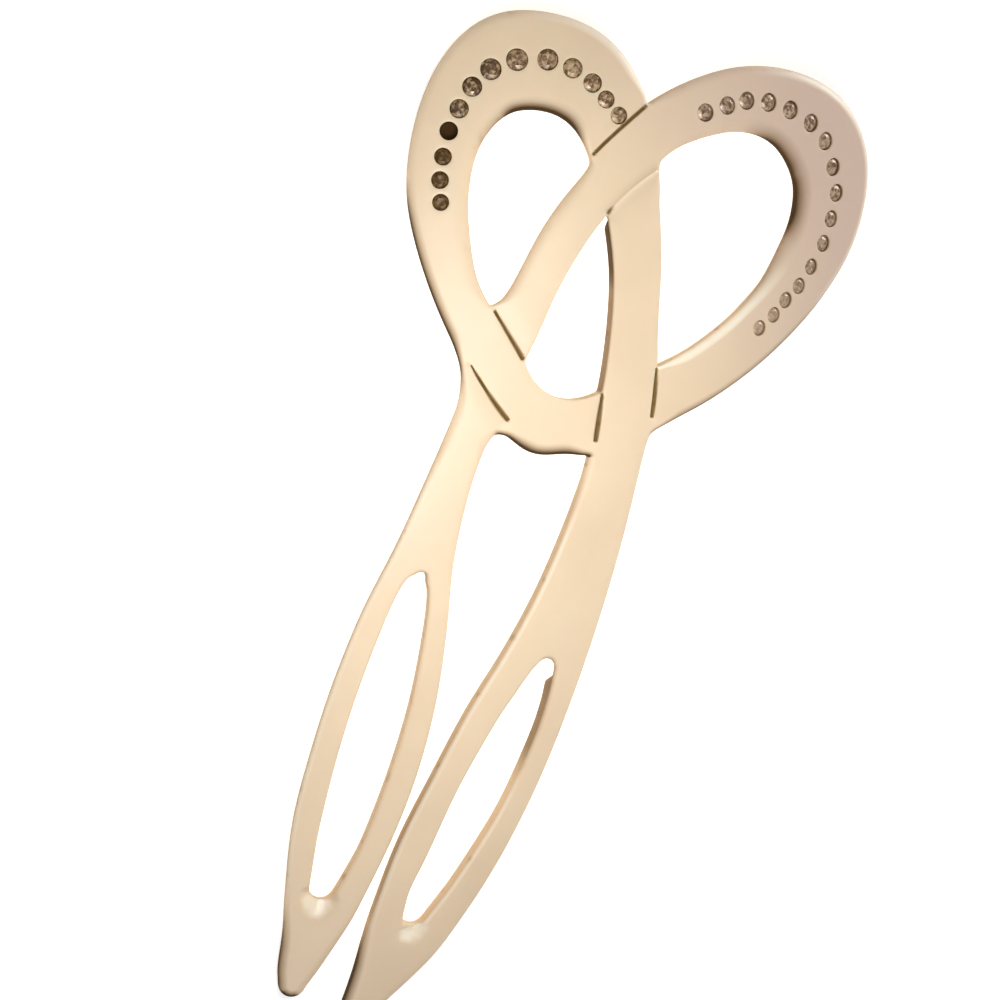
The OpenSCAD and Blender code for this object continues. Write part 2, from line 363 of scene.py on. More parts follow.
def carved_depth(points):
    """Depth of lines, dips and scoops at points of the face, the stain of the lines with the painted shade
    above the soft step, and the painted highlights on its crest and in the scoops.
    """
    depth = np.zeros(len(points))
    in_line = np.zeros(len(points))
    painted_highlight = np.zeros(len(points))
    for rows, under, line_depth, dip in [*CARVED_LINES.values(), SOFT_STEP]:
        curve = curve_through(rows, LINE_STEPS)
        near = np.where(np.hypot(*(points - curve[LINE_STEPS // 2, :2]).T) < LINE_FAR)[0]
        if not len(near):
            continue
        t, width, past = from_line(points[near], curve)
        t = t * under
        fade = 1 - eased(past / LINE_FADE)
        lower = dip * (1 - eased((t - DIP_START) / (2 * DIP_REACH))) ** DIP_BOW
        lower *= eased(t / DIP_LIP + 0.5)
        upper = UPPER_EDGE_DROP * np.clip(1 + t / UPPER_EDGE_ROUND, 0, 1) ** 2 * (t < 0)
        groove = line_depth * np.clip(1 - np.hypot(t, past) / (width / 2), 0, 1) ** CUT_BOW
        depth[near] += np.maximum((lower + upper) * fade, groove)
        dirt_and_shade = np.clip(groove / CUT_BROWN, 0, 1)
        if rows is SOFT_STEP[0]:
            to_start = np.hypot(*(points[near] - curve[0, :2]).T)
            dirt_and_shade *= START_DARK - START_LOSS * eased((to_start - START_FROM) / START_OVER)
            # Painted shade on the upper strand's side of the soft step, and a painted highlight on its
            # crest.
            dirt_and_shade = np.maximum(dirt_and_shade, SHADE * np.clip(1 + t / SHADE_WIDTH, 0, 1) ** 2 * (t < 0) * fade)
            crest = CREST_HIGHLIGHT * np.exp(-((t - CREST_AT) / CREST_WIDTH) ** 2) * fade
            painted_highlight[near] = np.maximum(painted_highlight[near], crest)
        in_line[near] = np.maximum(in_line[near], dirt_and_shade)
    for name, foot in slot_ends.items():
        turn, moved, slope, start, run_out, gone, pale = SCOOPS[name]
        along = np.array([math.cos(math.radians(turn)), math.sin(math.radians(turn))])
        off = (points - foot) @ along - moved
        above = (points - foot) @ np.array([-along[1], along[0]])
        ramp = slope * np.clip(above - start, RAMP_LOW, RAMP_HIGH)
        ramp *= 1 - eased((above - run_out) / (gone - run_out))
        scoop = np.maximum(ramp - off ** 2 / (2 * CUTTER_R), 0)
        depth += scoop
        # Painted highlight in the scoop, strongest where it is deep.
        sheen = pale * eased(scoop / HIGHLIGHT_DEPTH) * (1 - eased((above - HIGHLIGHT_END) / HIGHLIGHT_FADE))
        painted_highlight = np.maximum(painted_highlight, sheen)
    return depth, in_line, painted_highlight


LINE_ENDS = np.array([rows[k][:2] for rows, *_ in [*CARVED_LINES.values(), SOFT_STEP] for k in (0, 2)])
print("carved lines:", len(CARVED_LINES), "and one soft step")

# %% [markdown]
# ## Sockets, each drilled square to the face
#
# The stones' own boxes say where the sockets are. Each socket is a hole in the face's triangles,
# a slightly worn rim and a wall down to a flat floor.

# %% Where the stones sit
SOCKET_GAP = 0.06
RIM_WEAR = 0.08
SOCKET_SIDES = 40


def stone_place(node):
    """Place on the drawing and width of a stone, from its CAD node."""
    mesh = frame["nodes"][node].data
    points = np.array([v.co for v in mesh.vertices]) / MM
    points = (points - REST[:3, 3]) @ REST[:3, :3]
    middle = (points.min(0) + points.max(0)) / 2
    angle = math.atan2(middle[0], middle[2] + BEND_R)
    width = points[:, 1].max() - points[:, 1].min()
    return BEND_R * angle, middle[1], width


stones = {node: stone_place(node) for node in sorted(frame["nodes"]) if "stone" in node}
LOST_WIDTH = 2 * mount["dims"]["r_mm"] - 2 * SOCKET_GAP
sockets = [*stones.values(), (*LOST_SOCKET, LOST_WIDTH)]
print("stones:", len(stones), "widths from", round(min(s[2] for s in sockets), 2), "mm")

# %% [markdown]
# ## Rounded edges that follow the hand
#
# The loops of the heart are rounded like a bead, the prongs less, the hole in the middle hardly
# at all. A bevel modifier gives one width everywhere, so the rounding is made as rows of points
# that step inward and upward on a quarter of an ellipse whose size changes along the outline.
# It grows narrow where a carved line runs out over the edge, and it stays clear of the sockets.

# %% The size of the rounding at every point of an outline
# The outside's rounding: how far down it goes on the heart and on the prongs, where it begins to
# grow and over what length, and how much farther it reaches over the face.
HEART_ROUND, PRONG_ROUND = 0.95, 0.5
HEART_FROM, HEART_OVER = -4.0, 16.0
OUTSIDE_REACH = 1.45
# It goes farther down at the band's foot (its place across and along, and half widths) and at
# the prongs' tips (below what height, and over what length).
BAND_FOOT_EXTRA, BAND_FOOT, BAND_FOOT_HALVES = 0.35, (-4.0, 9.0), (5.0, 2.5)
TIP_EXTRA, TIP_FROM, TIP_OVER = 0.4, -60.0, 8.0
# What it keeps to near a carved line's end, and how far from the end it is free again.
LINE_END_REACH, LINE_END_NEAR, LINE_END_FREE = 0.5, 0.4, 5.0
SOCKET_ROOM, LEAST_REACH = 0.3, 0.3
# The rounding on the hollow side, as a share of the upper one, and the least wall between them.
FOOT_SHARE, LEAST_WALL = 0.9, 0.1
# How far the holes' rounding reaches over the face, and how far down it goes.
HOLE_ROUNDS = {
    "left_hole": (1.9, 1.0),
    "right_hole": (2.2, 1.45),
    "middle_hole": (0.4, 0.3),
    "left_slot": (0.55, 0.42),
    "right_slot": (0.6, 0.42),
}
# The right hole's rounding is less at its lower end: by what share, below what height, and over
# what length it comes back.
RIGHT_HOLE_LOSS, RIGHT_HOLE_LOW, RIGHT_HOLE_BACK = 0.42, 36.0, 10.0
# Where a hole was drilled aslant. Above y and right of x the wall's foot lies back by so much,
# and just below y it stands out by a lip.
ASLANT = {"right_slot": (-20.7, 9.3, 1.3, 0.3), "middle_hole": (40.5, -5.7, 0.85, 0.1)}
ASLANT_START, LIP_LENGTH = 1.2, 6.0


def to_line_ends(points):
    """How far each point is from the nearest end of a carved line."""
    return np.hypot(*(points[:, None] - LINE_ENDS[None]).transpose(2, 0, 1)).min(1)


def to_sockets(points):
    """How far each point is from the rim of the nearest socket."""
    x, y, width = np.array(sockets).T
    rim = width / 2 + SOCKET_GAP + RIM_WEAR
    return (np.hypot(points[:, :1] - x, points[:, 1:] - y) - rim).min(1)


def rounding(points, name):
    """At outline points: reach and depth of the rounding by the face, and its radius below."""
    if name == "outside":
        y = points[:, 1]
        down = PRONG_ROUND + (HEART_ROUND - PRONG_ROUND) * eased((y - HEART_FROM) / HEART_OVER)
        from_foot = eased(2 - np.abs(points - BAND_FOOT) / BAND_FOOT_HALVES)
        down += BAND_FOOT_EXTRA * from_foot[:, 1] * from_foot[:, 0]
        down += TIP_EXTRA * eased((TIP_FROM - y) / TIP_OVER)
        reach = OUTSIDE_REACH * down
    else:
        reach, down = (np.full(len(points), size) for size in HOLE_ROUNDS[name])
        if name == "right_hole":
            low = 1 - eased((points[:, 1] - RIGHT_HOLE_LOW) / RIGHT_HOLE_BACK)
            narrowing = 1 - RIGHT_HOLE_LOSS * low
            reach, down = reach * narrowing, down * narrowing
    reach = np.minimum(reach, np.maximum(to_sockets(points) - SOCKET_ROOM, LEAST_REACH))
    free = eased((to_line_ends(points) - LINE_END_NEAR) / LINE_END_FREE)
    reach = np.minimum(reach, LINE_END_REACH + (reach - LINE_END_REACH) * free)
    down = np.minimum(down, LINE_END_REACH + (down - LINE_END_REACH) * free)
    return reach, down, np.minimum(down * FOOT_SHARE, SHEET_T - down - LEAST_WALL)


def wall_lean(points, name):
    """How far the foot of the wall lies back from its top."""
    if name not in ASLANT:
        return np.zeros(len(points))
    y, x, away, lip = ASLANT[name]
    below = np.clip((y - points[:, 1]) / LIP_LENGTH, 0, 1)
    begun = np.clip((y - points[:, 1]) / ASLANT_START, 0, 1)
    leaning = away * (1 - begun) - lip * (1 - below) ** 2 * begun
    return np.where(points[:, 0] > x, leaning, 0)

# %% [markdown]
# ## Rows of points over every edge
#
# The outline's points stand closer in turns and by the ends of carved lines. From each of them
# the rows step over the rounded edge, down the wall and round the edge on the hollow side.

# %% Rows from the face to the hollow side
ROUND_ROWS, WALL_ROWS = 6, 3
# The spacing of the outline's points: on straight stretches, how much finer it gets in a turn,
# the finest, and near a carved line's end. Then the reach of each average on the way.
OUTLINE_STEP, TURN_FINENESS, FINEST_STEP = 0.42, 1.3, 0.14
LINE_END_STEP, LINE_END_STRETCH = 0.16, 1.6
TURN_REACH, STEP_REACH, NORMAL_REACH = 0.3, 0.4, 0.25


def chosen_points(fine):
    """Outline points that stand closer where it turns sharply or where a line runs out."""
    normals = left_normals(fine)
    turn = np.hypot(*(np.roll(normals, -1, 0) - np.roll(normals, 1, 0)).T) / (2 * FINE_STEP)
    step = OUTLINE_STEP / (1 + TURN_FINENESS * averaged(turn, TURN_REACH))
    by_line_end = to_line_ends(fine) < LINE_END_STRETCH
    step = np.maximum(np.where(by_line_end, np.minimum(step, LINE_END_STEP), step), FINEST_STEP)
    marks = np.concatenate([[0], np.cumsum(FINE_STEP / averaged(step, STEP_REACH))])
    count = int(round(marks[-1]))
    wanted = np.arange(count) * marks[-1] / count
    return np.interp(wanted, marks, np.arange(len(marks)))


edge_rows = []
for name, fine in zip(NAMES, fine_loops):
    picks = chosen_points(fine)
    normals = averaged(left_normals(fine), NORMAL_REACH)
    normals /= np.hypot(*normals.T)[:, None]
    closed, closed_n = np.vstack([fine, fine[:1]]), np.vstack([normals, normals[:1]])
    ticks = np.arange(len(closed))
    base = np.stack([np.interp(picks, ticks, closed[:, k]) for k in (0, 1)], -1)
    inward = np.stack([np.interp(picks, ticks, closed_n[:, k]) for k in (0, 1)], -1)
    inward /= np.hypot(*inward.T)[:, None]
    reach, down, foot_r = rounding(base, name)
    lean = wall_lean(base, name)
    rows = []
    for k in range(ROUND_ROWS, -1, -1):
        a = math.pi / 2 * k / ROUND_ROWS
        rows.append((reach * (1 - math.cos(a)), -down * (1 - math.sin(a)), 1 - k / ROUND_ROWS))
    for k in range(1, WALL_ROWS + 1):
        t = k / (WALL_ROWS + 1)
        rows.append((lean * t, -down - t * (SHEET_T - down - foot_r), 1.0))
    for k in range(ROUND_ROWS + 1):
        a = math.pi / 2 * k / ROUND_ROWS
        inset, height = lean + foot_r * (1 - math.cos(a)), -SHEET_T + foot_r * (1 - math.sin(a))
        rows.append((inset, height, 1 - k / ROUND_ROWS))
    edge_rows.append((base, inward, rows))
print("outline points:", sum(len(base) for base, _, _ in edge_rows))

# %% [markdown]
# ## Filling the two faces with triangles
#
# The rows of points leave two flat areas with holes, one on each side. A constrained Delaunay
# triangulation fills such an area with well-shaped triangles between any points that it is given,
# keeps the edges it must keep, and says in which outline each triangle lies. Points on a loose
# grid fill the open face, and closer rows of them stand along each carved line.

# %% Helpers for filling
GRID_STEP, HOLLOW_STEP = 0.85, 1.19
# Rows of points beside each carved line, rings round its ends, and from where every third will do.
LINE_ROWS = (-0.9, -0.45, -0.3, -0.16, -0.07, 0.0, 0.07, 0.16, 0.3, 0.5, 0.9, 1.5, 2.3)
END_RINGS = (0.12, 0.25, 0.4, 0.6)
SPARSE_FROM = 0.4
# One ring of points stands round each socket's rim.
SOCKET_RING, SOCKET_RING_SIDES = 0.6, 28
# How far points keep clear: of the grid's neighbours, of edges, of each other by a line, of a rim,
# of whatever is there, and of any socket for a ring's points and for the grid's.
GRID_MARGIN, LINE_MARGIN, LINE_GAP, RIM_GAP, RING_GAP = 0.45, 0.3, 0.06, 0.1, 0.3
RING_CLEAR, GRID_CLEAR = 0.26, 0.36
BLOCK = 400


def ring(x, y, radius, sides=SOCKET_SIDES):
    a = np.arange(sides) * 2 * math.pi / sides
    return np.stack([x + radius * np.cos(a), y + radius * np.sin(a)], -1)


def kept_where(points, test):
    """The points for which a test holds, asked in blocks to save memory."""
    blocks = [points[start:start + BLOCK] for start in range(0, len(points), BLOCK)]
    return np.vstack([block[test(block)] for block in blocks])


def apart(points, others, gap):
    """Points that stand at least that far from every other point."""
    return kept_where(points, lambda block: np.hypot(
        block[:, :1] - others[:, 0], block[:, 1:] - others[:, 1]).min(1) >= gap)


def thinned(points, gap):
    """Leaves out points that stand closer than that to an earlier one."""
    kept = {}
    for point in points:
        kept.setdefault((round(point[0] / gap), round(point[1] / gap)), point)
    return np.array(list(kept.values()))


def holds(loop, points):
    """Which points lie inside a closed loop."""
    x, y = points[:, 0][:, None], points[:, 1][:, None]
    x0, y0 = loop[None, :, 0], loop[None, :, 1]
    x1, y1 = np.roll(loop[:, 0], -1)[None], np.roll(loop[:, 1], -1)[None]
    crosses = (y0 > y) != (y1 > y)
    with np.errstate(divide="ignore", invalid="ignore"):
        at = x0 + (y - y0) * (x1 - x0) / (y1 - y0)
    return (crosses & (at > x)).sum(1) % 2 == 1


def inside_sheet(points, loops):
    """The points that lie in the sheet and in none of its holes."""
    outside, *openings = loops
    return kept_where(points, lambda block: holds(outside, block)
                      & ~np.any([holds(loop, block) for loop in openings], 0))


def grid_points(loops, step):
    """A grid of even triangles over the sheet."""
    low, high = loops[0].min(0), loops[0].max(0)
    xs = np.arange(low[0], high[0], step)
    ys = np.arange(low[1], high[1], step * math.sqrt(3) / 2)
    points = np.array([(x + (k % 2) * step / 2, y) for k, y in enumerate(ys) for x in xs])
    return inside_sheet(points, loops)


def line_points(loops):
    """Rows of points on both sides of every carved line, clear of the rounded edges."""
    rows = []
    for table, under, *_ in [*CARVED_LINES.values(), SOFT_STEP]:
        curve = curve_through(table, 3 * LINE_STEPS)
        along = np.gradient(curve[:, :2], axis=0)
        along /= np.hypot(*along.T)[:, None]
        left = np.stack([-along[:, 1], along[:, 0]], -1)
        for off in LINE_ROWS:
            every = 1 if abs(off) < SPARSE_FROM else 3
            rows.append((curve[:, :2] + left * off * under)[::every])
        for end in (curve[0], curve[-1]):
            rows += [ring(end[0], end[1], r, int(30 * r) + 6) for r in END_RINGS]
    points = inside_sheet(np.vstack(rows), loops)
    return thinned(apart(points, np.vstack(loops), LINE_MARGIN), LINE_GAP)


def filled(loops, holes, loose):
    """Triangles between loops, less the holes. Returns all points and index triples."""
    polygons = [*loops, *holes]
    points = np.vstack([*polygons, loose])
    starts = np.cumsum([0] + [len(p) for p in polygons])
    faces = []
    for k, polygon in enumerate(polygons):
        names = list(range(starts[k], starts[k + 1]))
        faces.append(names if signed_area(polygon) > 0 else names[::-1])
    out, _, triples, origins, _, in_faces = delaunay_2d_cdt(
        [Vector(p) for p in points], [], faces, 0, 1e-7, True)
    lookup = [o[0] if o else None for o in origins]
    extra = []
    for k, name in enumerate(lookup):
        if name is None:
            lookup[k] = len(points) + len(extra)
            extra.append(tuple(out[k]))
    kept = [tuple(lookup[i] for i in t) for t, f in zip(triples, in_faces) if list(f) == [0]]
    if extra:
        points = np.vstack([points, extra])
    return points, kept

# %% [markdown]
# ## Loose points for the open faces
#
# Long thin triangles would shade badly on a polished face, so loose points spread over it and
# keep clear of the edges and the sockets. The hollow side shows less and takes a wider grid.

# %% Fill both faces
face_loops = [base + inward * rows[0][0][:, None] for base, inward, rows in edge_rows]
foot_loops = [base + inward * rows[-1][0][:, None] for base, inward, rows in edge_rows]
rims = [ring(x, y, width / 2 + SOCKET_GAP + RIM_WEAR) for x, y, width in sockets]
rim_points = np.vstack(rims)
fixed = np.vstack([*face_loops, rim_points])
carved = apart(line_points(face_loops), rim_points, RIM_GAP)
rings = np.vstack([ring(x, y, w / 2 + SOCKET_RING, SOCKET_RING_SIDES) for x, y, w in sockets])
rings = apart(inside_sheet(rings, face_loops), np.vstack([fixed, carved]), RING_GAP)
rings = rings[to_sockets(rings) > RING_CLEAR]
loose = apart(grid_points(face_loops, GRID_STEP), np.vstack([fixed, carved, rings]), GRID_MARGIN)
loose = loose[to_sockets(loose) > GRID_CLEAR]
face_points, face_triples = filled(face_loops, rims, np.vstack([carved, rings, loose]))
hollow_loose = apart(grid_points(foot_loops, HOLLOW_STEP), np.vstack(foot_loops), GRID_MARGIN)
hollow_points, hollow_triples = filled(foot_loops, [], hollow_loose)
print("face triangles:", len(face_triples), "hollow side:", len(hollow_triples))

# %% [markdown]
# ## Painted shade and highlights on the edges
#
# Edges that face away from the light get a brown painted shade, and edges that face it get a painted
# highlight. A row stands for the edges that face one way between two heights, and its mark fades from
# there.

# %% Painted shade and highlights on the edges
# For each outline: the way an edge faces, how much brown painted shade it gets, or how much painted
# highlight where that is below nought, and between which y it lies.
EDGE_SHADING = {
    "outside": [(-0.84, -0.54, 1.0, 14, 34), (-0.84, -0.54, 0.2, 34, 80), (0.0, -1.0, 1.3, 5, 13),
                (0.5, -0.87, 1.0, 12, 60), (-1.0, 0.0, 0.15, -60, 6), (-0.9, -0.4, 0.8, -90, -64),
                (0.0, -1.0, 1.6, -90, -68), (0.5, 0.87, -0.8, 40, 80), (1.0, 0.2, -0.6, 40, 80),
                (-1.0, 0.1, -0.5, -60, 0)],
    "left_hole": [(0.2, -0.98, 1.2, 44, 80), (-0.85, -0.5, 1.0, 50, 80), (0.9, -0.4, 0.5, 44, 80)],
    "right_hole": [(-0.97, -0.26, 0.85, 48, 80), (-0.6, -0.8, 0.9, 54, 80), (-1.0, 0.0, 0.3, 38, 80),
                   (-0.55, 0.83, -1.2, 10, 46)],
    "middle_hole": [(-0.97, -0.26, 0.65, 31, 80), (-0.97, -0.26, 0.42, 10, 80)],
    "left_slot": [(0.0, -1.0, 0.5, -30, 0)],
    "right_slot": [(-1.0, 0.0, 0.42, -34, 0), (-0.8, 0.6, -0.5, -66, -38), (0.0, -1.0, 0.5, -30, 0)],
}
EDGE_SHADING_FADE = 8.0
FACING_FROM, FACING_SPREAD = 0.5, 0.42


def grime_at(points, inward, name):
    """How much brown painted shade and painted highlight the edge gets, by the way that it faces and by its
    place.
    """
    y = points[:, 1]
    brown_edge_shade, worn = np.zeros(len(points)), np.zeros(len(points))
    for dx, dy, most, low, high in EDGE_SHADING[name]:
        facing = eased((-inward @ np.array([dx, dy]) - FACING_FROM) / FACING_SPREAD)
        ends = eased((y - low) / EDGE_SHADING_FADE + 0.5) * eased((high - y) / EDGE_SHADING_FADE + 0.5)
        brown_edge_shade = np.maximum(brown_edge_shade, most * facing * ends)
        worn = np.maximum(worn, -most * facing * ends)
    return brown_edge_shade, worn

# %% [markdown]
# ## Joining everything into one closed body
#
# Points are numbered as they are added: the rows round every outline, the two faces and the
# sockets. The faces share the rows' first and last points, so the body closes without a seam.
# Each point also keeps how much it lies on an edge, its painted edge shade and highlight, its stain with
# the painted shade by the soft step, and the painted highlight on the crest and in the scoops, for the
# material.

# %% Number the points and join the rows
all_points, all_heights, quads = [], [], []
marks = {"edge": [], "grime": [], "worn": [], "stain": [], "scoop": []}
count = 0


def add(points, heights, **values):
    """Adds points of the drawing and returns the number of the first."""
    global count
    first = count
    all_points.append(points)
    all_heights.append(heights)
    for name, mark in marks.items():
        mark.append(np.broadcast_to(values.get(name, 0.0), len(points)))
    count += len(points)
    return first


def join(first, second, size):
    """Four-sided faces between two closed rows of the same size."""
    for k in range(size):
        n = (k + 1) % size
        quads.append((first + k, first + n, second + n, second + k))


first_rows, last_rows = [], []
for name, (base, inward, rows) in zip(NAMES, edge_rows):
    before = None
    brown_edge_shade, worn = grime_at(base, inward, name)
    for k, (inset, height, edge) in enumerate(rows):
        points = base + inward * inset[:, None]
        cut, in_line, painted_highlight = carved_depth(points)
        share = np.clip((SHEET_T + height) / SHEET_T, 0, 1) ** 2
        here = add(points, height - cut * share, edge=edge, grime=brown_edge_shade, worn=worn, stain=in_line * share,
                   scoop=painted_highlight * share)
        if before is not None:
            join(before, here, len(base))
        if k == 0:
            first_rows.append(here)
        before = here
    last_rows.append(before)

loop_sizes = [len(base) for base, _, _ in edge_rows]
edge_total = sum(loop_sizes)
cut, in_line, painted_highlight = (values[edge_total:] for values in carved_depth(face_points))
inner_first = add(face_points[edge_total:], -cut, stain=in_line, scoop=painted_highlight)
hollow_first = add(hollow_points[edge_total:], np.full(len(hollow_points) - edge_total, -SHEET_T))


def renamed(triples, rows, inner, total):
    """Triangles with the numbers that their points have in the body."""
    names = np.concatenate([first + np.arange(size) for first, size in zip(rows, loop_sizes)]
                           + [inner + np.arange(total - edge_total)])
    return [tuple(int(names[i]) for i in triple) for triple in triples]


triples = renamed(face_triples, first_rows, inner_first, len(face_points))
triples += [t[::-1] for t in renamed(hollow_triples, last_rows, hollow_first, len(hollow_points))]

# %% [markdown]
# ## Walls and floors of the sockets, and the mesh
#
# Each socket goes down from its rim in rings of points to a flat floor. Dirt gathers there, most
# of all in the socket that has lost its stone. Then all points are bent and laid down together.

# %% Sockets and the finished mesh
SHARP = math.radians(48)
# Columns: how far the ring is from the wall, its depth, and its stain with and without a stone
SOCKET_RINGS = [(0.045, 0.012, 0.05, 0.1), (0.012, 0.04, 0.15, 0.6), (0.0, 0.12, 0.35, 1.6),
                (0.0, 0.35, 0.9, 2.0), (0.0, 0.7, 2.0, 2.0), (-0.03, 1.38, 2.0, 2.0)]
for k, (x, y, width) in enumerate(sockets):
    before = inner_first + k * SOCKET_SIDES
    for off, depth, stain, bare_stain in SOCKET_RINGS:
        points = ring(x, y, width / 2 + SOCKET_GAP + off)
        here = add(points, np.full(SOCKET_SIDES, -depth), stain=bare_stain if k == len(stones) else stain)
        join(before, here, SOCKET_SIDES)
        before = here
    centre = add(np.array([[x, y]]), np.array([-SOCKET_RINGS[-1][1]]), stain=2.0)
    triples += [(before + n, before + (n + 1) % SOCKET_SIDES, centre) for n in range(SOCKET_SIDES)]

flat = np.vstack(all_points)
height = np.concatenate(all_heights)
places = laid_down(bent(flat[:, 0], flat[:, 1], height))
places[:, 2] = np.maximum(places[:, 2], 0.0)

mesh = bpy.data.meshes.new("pick_body")
mesh.from_pydata(places.tolist(), [], quads + triples)
mesh.validate()
for name, values in marks.items():
    mark = mesh.attributes.new(name, "FLOAT", "POINT")
    mark.data.foreach_set("value", np.concatenate(values).astype(np.float32))
tidy = bmesh.new()
tidy.from_mesh(mesh)
bmesh.ops.recalc_face_normals(tidy, faces=tidy.faces)
open_edges = sum(1 for e in tidy.edges if len(e.link_faces) != 2)
tidy.to_mesh(mesh)
tidy.free()
mesh.shade_smooth()
mesh.set_sharp_from_angle(angle=SHARP)
pick_body = shown("pick_body", mesh)
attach(pick_body, "root")
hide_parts("body")
print("body faces:", len(mesh.polygons), "open edges:", open_edges)

# %% [markdown]
# ## Cut stones
#
# A small cut stone has a flat table, a crown of kite and triangle facets, a thin belt and a
# narrow back that stands in the socket. It could be a lathe shape, but only true flat facets
# break the light up. One function builds the facets, and a loop sets a stone in every socket.

# %% The faceted stones
# Widths and heights as shares of the stone's own width, and how far down the crown a star ends.
TABLE_SHARE, STAR_SHARE, CULET_SHARE = 0.56, 0.78, 0.12
CROWN_SHARE, BELT_SHARE, TABLE_SAG = 0.12, 0.04, 0.02
STAR_DOWN = 0.45
STONE_SUNK, FOOT_GAP = 0.08, 0.1
LEAN_DEGREES = 2.0
SEED = 12


def cut_stone(width, turn):
    """Points and facets of a stone, in mm, with its top looking along +Z."""
    r = width / 2
    top = -STONE_SUNK
    belt = top - CROWN_SHARE * width
    belt_foot = belt - BELT_SHARE * width
    foot = FOOT_GAP - SOCKET_DEPTH
    points, facets = [], []

    def circle(count, radius, z, offset):
        first = len(points)
        for k in range(count):
            a = turn + 2 * math.pi * (k + offset) / count
            points.append((radius * math.cos(a), radius * math.sin(a), z))
        return first

    middle = circle(1, 0.0, top - TABLE_SAG * width, 0)
    table = circle(8, r * TABLE_SHARE, top, 0)
    star = circle(8, r * STAR_SHARE, top - STAR_DOWN * CROWN_SHARE * width, 0.5)
    belt_top = circle(16, r, belt, 0)
    belt_low = circle(16, r, belt_foot, 0)
    culet = circle(8, r * CULET_SHARE, foot, 0)
    for k in range(8):
        n = (k + 1) % 8
        facets += [
            [middle, table + k, table + n],
            [table + k, star + k, table + n],
            [table + n, star + k, belt_top + 2 * n, star + n],
            [star + k, belt_top + 2 * k, belt_top + 2 * k + 1],
            [star + k, belt_top + 2 * k + 1, belt_top + (2 * k + 2) % 16],
        ]
    for k in range(16):
        n = (k + 1) % 16
        facets.append([belt_top + k, belt_low + k, belt_low + n, belt_top + n])
    for k in range(8):
        n = (k + 1) % 8
        facets += [
            [belt_low + 2 * k, culet + k, belt_low + 2 * k + 1],
            [belt_low + 2 * k + 1, culet + k, culet + n],
            [belt_low + 2 * k + 1, culet + n, belt_low + 2 * n],
        ]
    facets.append([culet + k for k in range(7, -1, -1)])
    return points, facets


rng = np.random.default_rng(SEED)
stone_pieces = []
for node, (x, y, width) in stones.items():
    points, facets = cut_stone(width, rng.uniform(0, math.pi / 4))
    stone_mesh = bpy.data.meshes.new("cut_" + node)
    stone_mesh.from_pydata([Vector(p) * MM for p in points], [], facets)
    lean = Matrix.Rotation(math.radians(rng.normal(0, LEAN_DEGREES)), 4, "X")
    lean @= Matrix.Rotation(math.radians(rng.normal(0, LEAN_DEGREES)), 4, "Y")
    stone_mesh.transform(on_face(x, y) @ lean)
    glints = rng.uniform(0, 1, len(facets)).astype(np.float32)
    stone_mesh.attributes.new("glint", "FLOAT", "FACE").data.foreach_set("value", glints)
    piece = shown("cut_" + node, stone_mesh)
    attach(piece, "root")
    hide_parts(node)
    stone_pieces.append((node, piece))
print("stones cut:", len(stone_pieces))

# %% [markdown]
# ## Shader maths as plain expressions
#
# A finish is worked out from a few numbers that change over the surface. Wiring each sum by hand
# takes many lines, so a small class wraps a socket and lets + - * / and ** add the Math nodes.

# %% A socket that can be used in sums
class Wire:
    """One socket of a material's node tree, which sums can use."""

    def __init__(self, tree, socket):
        self.tree, self.socket = tree, socket

    def node(self, kind, settings=(), output=0, **inputs):
        """Adds a node. Settings are set first, then its sockets take values or wires. A socket
        goes by its name, or by i and its number."""
        made = self.tree.nodes.new(kind)
        for name, value in dict(settings).items():
            setattr(made, name, value)
        for name, value in inputs.items():
            key = int(name[1:]) if name[1:].isdigit() else name.replace("_", " ")
            socket = made.inputs[key]
            if isinstance(value, Wire):
                self.tree.links.new(value.socket, socket)
            else:
                socket.default_value = value
        return Wire(self.tree, made.outputs[output])

    def sum(self, operation, a, b=0.0):
        return self.node("ShaderNodeMath", {"operation": operation}, i0=a, i1=b)

    def held(self):
        """Between 0 and 1."""
        return self.node("ShaderNodeClamp", i0=self)

    def blend(self, low, high):
        """A colour that goes from low to high as this goes from 0 to 1."""
        return self.node("ShaderNodeMix", {"data_type": "RGBA"}, 2, i0=self, i6=low, i7=high)


# Each sign works with the wire on its left and, as the r form, on its right.
for sign, operation in (("add", "ADD"), ("sub", "SUBTRACT"), ("mul", "MULTIPLY"),
                        ("truediv", "DIVIDE"), ("pow", "POWER")):
    setattr(Wire, f"__{sign}__", lambda wire, other, op=operation: wire.sum(op, wire, other))
    setattr(Wire, f"__r{sign}__", lambda wire, other, op=operation: wire.sum(op, other, wire))


def new_finish(name):
    """An empty material: its main shader, and a wire to start sums from."""
    finish = bpy.data.materials.new(name)
    finish.use_nodes = True
    tree = finish.node_tree
    shader = [n for n in tree.nodes if n.type == "BSDF_PRINCIPLED"][0]
    place = tree.nodes.new("ShaderNodeTexCoord").outputs["Object"]
    return finish, shader, Wire(tree, place)


def noise(place, scale, detail, roughness=0.5):
    """Soft random values over the surface, finer as the scale grows."""
    return place.node("ShaderNodeTexNoise", Vector=place, Scale=scale, Detail=detail, Roughness=roughness)


def across_and_along(place):
    return [place.node("ShaderNodeSeparateXYZ", {}, k, Vector=place) for k in (0, 1)]


def feed(shader, place, **values):
    """Constants go on the shader's own sockets and wires are linked."""
    for name, value in values.items():
        socket = shader.inputs[name.replace("_", " ")]
        if isinstance(value, Wire):
            place.tree.links.new(value.socket, socket)
        else:
            socket.default_value = value


